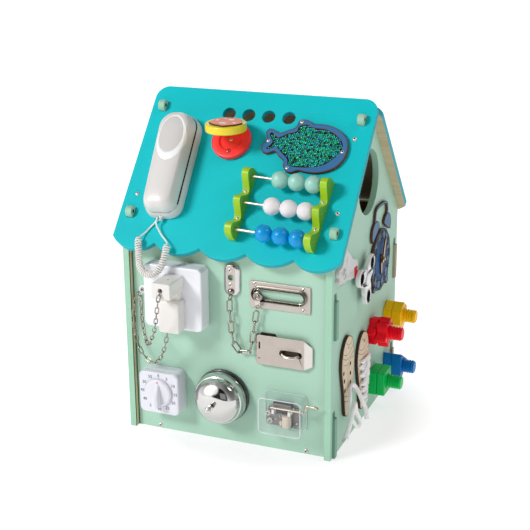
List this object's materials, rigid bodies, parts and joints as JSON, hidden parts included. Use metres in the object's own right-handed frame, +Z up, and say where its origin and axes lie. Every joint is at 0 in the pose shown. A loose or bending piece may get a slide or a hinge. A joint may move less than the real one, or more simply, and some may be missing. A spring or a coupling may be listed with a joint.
{
  "type": "activity house",
  "caption": "Plywood activity house with a scalloped roof, toy phone, castanet, abacus, plug and socket, timer, bell, chain, hasp, music box, dial hands, spinner and big nuts and bolts.",
  "frame": {"origin": "centre of the house's base, on the surface it stands on", "axes": "+Z up, the front panel with the socket, timer, bell and music box faces -Y, the gable wall with the big nuts and bolts faces +X"},
  "size_m": [0.36, 0.379, 0.4616],
  "materials": {
    "mint_paint": "satin painted plywood",
    "turquoise_paint": "satin painted plywood",
    "raw_birch": "raw laser-cut birch plywood",
    "white_plastic": "glossy white plastic",
    "ivory_plastic": "satin off-white plastic",
    "lime_paint": "lime painted wood",
    "red_plastic": "glossy red",
    "yellow_plastic": "glossy yellow",
    "blue_plastic": "glossy blue",
    "green_plastic": "glossy green",
    "bead_mint": "glossy mint painted wood",
    "bead_white": "glossy white painted wood",
    "bead_blue": "glossy blue painted wood",
    "fish_blue": "blue painted plywood",
    "clock_blue": "slate-blue painted plywood",
    "steel": "bright nickel-plated steel",
    "chrome": "polished chrome",
    "black_enamel": "gloss black enamel",
    "clear_acrylic": "clear acrylic",
    "white_lace": "braided white lace"
  },
  "bodies": {
    "house": {"left_wall": "mint_paint", "right_wall": "mint_paint", "front_panel": "mint_paint", "back_panel": "mint_paint", "floor_panel": "raw_birch", "roof_front": "turquoise_paint", "roof_back": "turquoise_paint", "phone_cradle": "white_plastic", "phone_cord": "white_plastic", "castanet_base": "red_plastic", "fish_panel": "fish_blue", "abacus_bracket_left": "lime_paint", "abacus_bracket_right": "lime_paint", "abacus_rod_top": "steel", "abacus_rod_middle": "steel", "abacus_rod_bottom": "steel", "socket_box": "white_plastic", "plug_chain": "steel", "timer_body": "white_plastic", "bell_base": "black_enamel", "bell_dome": "chrome", "chain_keeper": "steel", "door_chain": "steel", "chain_track": "steel", "hasp_staple": "steel", "music_case": "clear_acrylic", "music_movement": "steel", "clock_face": "clock_blue", "yellow_bolt": "yellow_plastic", "red_bolt": "red_plastic", "green_bolt": "green_plastic", "blue_bolt": "blue_plastic", "sole_front": "raw_birch", "sole_rear": "raw_birch", "shoe_lace": "white_lace"},
    "handset": {"phone_handset": "white_plastic"},
    "castanet_top": {"castanet_lid": "yellow_plastic"},
    "plug_body": {"plug": "ivory_plastic"},
    "dial": {"timer_dial": "white_plastic"},
    "button": {"bell_button": "chrome"},
    "slider": {"chain_slider": "steel"},
    "flap": {"hasp_flap": "steel"},
    "crank": {"music_crank": "steel"},
    "spinner": {"fidget_spinner": "white_plastic"},
    "hour_hand": {"clock_hour_hand": "raw_birch"},
    "minute_hand": {"clock_minute_hand": "raw_birch"},
    "latch": {"turn_latch": "white_plastic"},
    "yellow_nut_body": {"yellow_nut": "yellow_plastic"},
    "red_nut_body": {"red_nut": "red_plastic"},
    "green_nut_body": {"green_nut": "green_plastic"},
    "blue_nut_body": {"blue_nut": "blue_plastic"},
    "top_bead_left": {"bead_top_left": "bead_mint"},
    "top_bead_middle": {"bead_top_middle": "bead_mint"},
    "top_bead_right": {"bead_top_right": "bead_mint"},
    "middle_bead_left": {"bead_middle_left": "bead_white"},
    "middle_bead_middle": {"bead_middle_middle": "bead_white"},
    "middle_bead_right": {"bead_middle_right": "bead_white"},
    "bottom_bead_left": {"bead_bottom_left": "bead_blue"},
    "bottom_bead_middle": {"bead_bottom_middle": "bead_blue"},
    "bottom_bead_right": {"bead_bottom_right": "bead_blue"}
  },
  "joints": [
    {"name": "handset_lift", "type": "slide", "parent": "house", "child": "handset", "axis": [0, -0.7581, 0.6521], "range_m": [0, 0.08], "deforming": ["phone_cord"]},
    {"name": "castanet_hinge", "type": "hinge", "parent": "house", "child": "castanet_top", "pos_m": [-0.028, -0.04532, 0.4221], "axis": [1, 0, 0], "range_deg": [-30, 45], "stiffness_Nm_per_rad": 0.06, "springref_deg": -5.16},
    {"name": "top_bead_left_slide", "type": "slide", "parent": "house", "child": "top_bead_left", "axis": [0.9991, -0.0273, -0.0317], "range_m": [-0.027, 0]},
    {"name": "top_bead_middle_slide", "type": "slide", "parent": "house", "child": "top_bead_middle", "axis": [0.9991, -0.0273, -0.0317], "range_m": [-0.027, 0]},
    {"name": "top_bead_right_slide", "type": "slide", "parent": "house", "child": "top_bead_right", "axis": [0.9991, -0.0273, -0.0317], "range_m": [-0.027, 0]},
    {"name": "middle_bead_left_slide", "type": "slide", "parent": "house", "child": "middle_bead_left", "axis": [0.9991, -0.0273, -0.0317], "range_m": [-0.027, 0]},
    {"name": "middle_bead_middle_slide", "type": "slide", "parent": "house", "child": "middle_bead_middle", "axis": [0.9991, -0.0273, -0.0317], "range_m": [-0.027, 0]},
    {"name": "middle_bead_right_slide", "type": "slide", "parent": "house", "child": "middle_bead_right", "axis": [0.9991, -0.0273, -0.0317], "range_m": [-0.027, 0]},
    {"name": "bottom_bead_left_slide", "type": "slide", "parent": "house", "child": "bottom_bead_left", "axis": [0.9991, -0.0273, -0.0317], "range_m": [-0.027, 0]},
    {"name": "bottom_bead_middle_slide", "type": "slide", "parent": "house", "child": "bottom_bead_middle", "axis": [0.9991, -0.0273, -0.0317], "range_m": [-0.027, 0]},
    {"name": "bottom_bead_right_slide", "type": "slide", "parent": "house", "child": "bottom_bead_right", "axis": [0.9991, -0.0273, -0.0317], "range_m": [-0.027, 0]},
    {"name": "plug_pull", "type": "slide", "parent": "house", "child": "plug_body", "axis": [0, -1, 0], "range_m": [0, 0.024], "deforming": ["plug_chain"]},
    {"name": "timer_turn", "type": "hinge", "parent": "house", "child": "dial", "pos_m": [-0.0942, -0.1673, 0.0678], "axis": [0, 1, 0], "range_deg": [0, 330]},
    {"name": "bell_press", "type": "slide", "parent": "house", "child": "button", "axis": [0, 1, 0], "range_m": [0, 0.003], "stiffness_N_per_m": 300},
    {"name": "chain_slide", "type": "slide", "parent": "house", "child": "slider", "axis": [1, 0, 0], "range_m": [0, 0.058], "deforming": ["door_chain"]},
    {"name": "hasp_hinge", "type": "hinge", "parent": "house", "child": "flap", "pos_m": [0.0444, -0.1444, 0.1455], "axis": [0, 0, -1], "range_deg": [0, 110]},
    {"name": "crank_turn", "type": "hinge", "parent": "house", "child": "crank", "pos_m": [0.115, -0.158, 0.069], "axis": [1, 0, 0], "continuous": true},
    {"name": "spinner_turn", "type": "hinge", "parent": "house", "child": "spinner", "pos_m": [0.1593, -0.036, 0.223], "axis": [1, 0, 0], "continuous": true},
    {"name": "hour_turn", "type": "hinge", "parent": "house", "child": "hour_hand", "pos_m": [0.1547, 0.0505, 0.225], "axis": [1, 0, 0], "continuous": true},
    {"name": "minute_turn", "type": "hinge", "parent": "house", "child": "minute_hand", "pos_m": [0.157, 0.0505, 0.225], "axis": [1, 0, 0], "continuous": true},
    {"name": "latch_turn", "type": "hinge", "parent": "house", "child": "latch", "pos_m": [0.1503, -0.118, 0.255], "axis": [1, 0, 0], "range_deg": [-20, 20]},
    {"name": "yellow_nut_turn", "type": "hinge", "parent": "house", "child": "yellow_nut_body", "pos_m": [0.163, 0.102, 0.123], "axis": [1, 0, 0], "continuous": true},
    {"name": "red_nut_turn", "type": "hinge", "parent": "house", "child": "red_nut_body", "pos_m": [0.163, 0.0255, 0.124], "axis": [1, 0, 0], "continuous": true},
    {"name": "green_nut_turn", "type": "hinge", "parent": "house", "child": "green_nut_body", "pos_m": [0.163, 0.0365, 0.0438], "axis": [1, 0, 0], "continuous": true},
    {"name": "blue_nut_turn", "type": "hinge", "parent": "house", "child": "blue_nut_body", "pos_m": [0.163, 0.106, 0.0405], "axis": [1, 0, 0], "continuous": true}
  ],
  "couplings": [
    {"joint": "top_bead_middle_slide", "follows": "top_bead_left_slide", "ratio": 1},
    {"joint": "top_bead_right_slide", "follows": "top_bead_left_slide", "ratio": 1},
    {"joint": "middle_bead_middle_slide", "follows": "middle_bead_left_slide", "ratio": 1},
    {"joint": "middle_bead_right_slide", "follows": "middle_bead_left_slide", "ratio": 1},
    {"joint": "bottom_bead_middle_slide", "follows": "bottom_bead_left_slide", "ratio": 1},
    {"joint": "bottom_bead_right_slide", "follows": "bottom_bead_left_slide", "ratio": 1}
  ]
}
